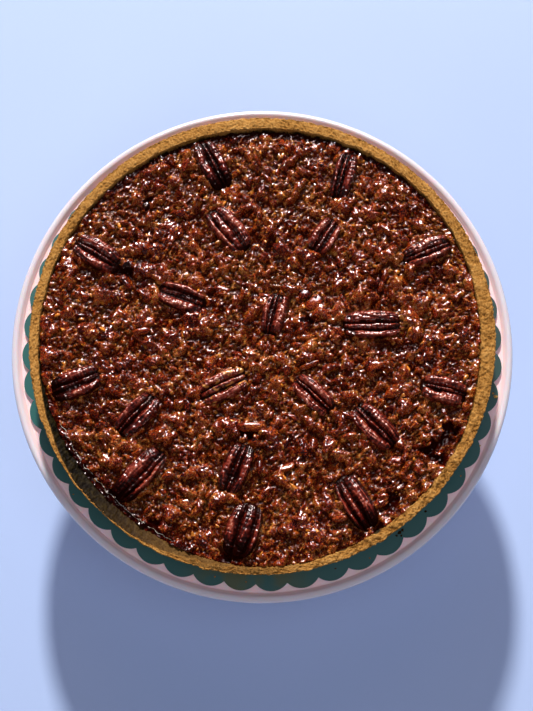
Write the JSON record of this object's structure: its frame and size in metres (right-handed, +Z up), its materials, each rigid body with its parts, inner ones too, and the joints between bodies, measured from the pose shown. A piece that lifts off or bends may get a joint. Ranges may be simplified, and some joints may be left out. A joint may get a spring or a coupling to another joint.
{
  "type": "pecan pie on a cake stand",
  "caption": "Round pecan pie with a crumbly biscuit crust and pecan halves on top, on a scalloped card board and a footed pink milk-glass cake stand.",
  "frame": {"origin": "middle of the stand's foot, on the table", "axes": "+Z up; +Y to the far side of the pie as it is looked at, +X to the right"},
  "size_m": [0.266, 0.266, 0.1172],
  "materials": {
    "pink_glass": "smooth opaque pink milk glass, glossy",
    "teal_card": "dark teal faced card, satin",
    "biscuit": "golden crumbly baked biscuit, matte",
    "nut_syrup": "chopped nuts in baked brown syrup, glossy",
    "pecan": "roasted pecan skin, satin with syrup"
  },
  "bodies": {
    "root": {"cake_stand": "pink_glass", "cake_board": "teal_card", "crust": "biscuit", "filling": "nut_syrup", "pecan_01": "pecan", "pecan_02": "pecan", "pecan_03": "pecan", "pecan_04": "pecan", "pecan_05": "pecan", "pecan_06": "pecan", "pecan_07": "pecan", "pecan_08": "pecan", "pecan_09": "pecan", "pecan_10": "pecan", "pecan_11": "pecan", "pecan_12": "pecan", "pecan_13": "pecan", "pecan_14": "pecan", "pecan_15": "pecan", "pecan_16": "pecan", "pecan_17": "pecan", "pecan_18": "pecan", "pecan_19": "pecan"}
  },
  "joints": []
}
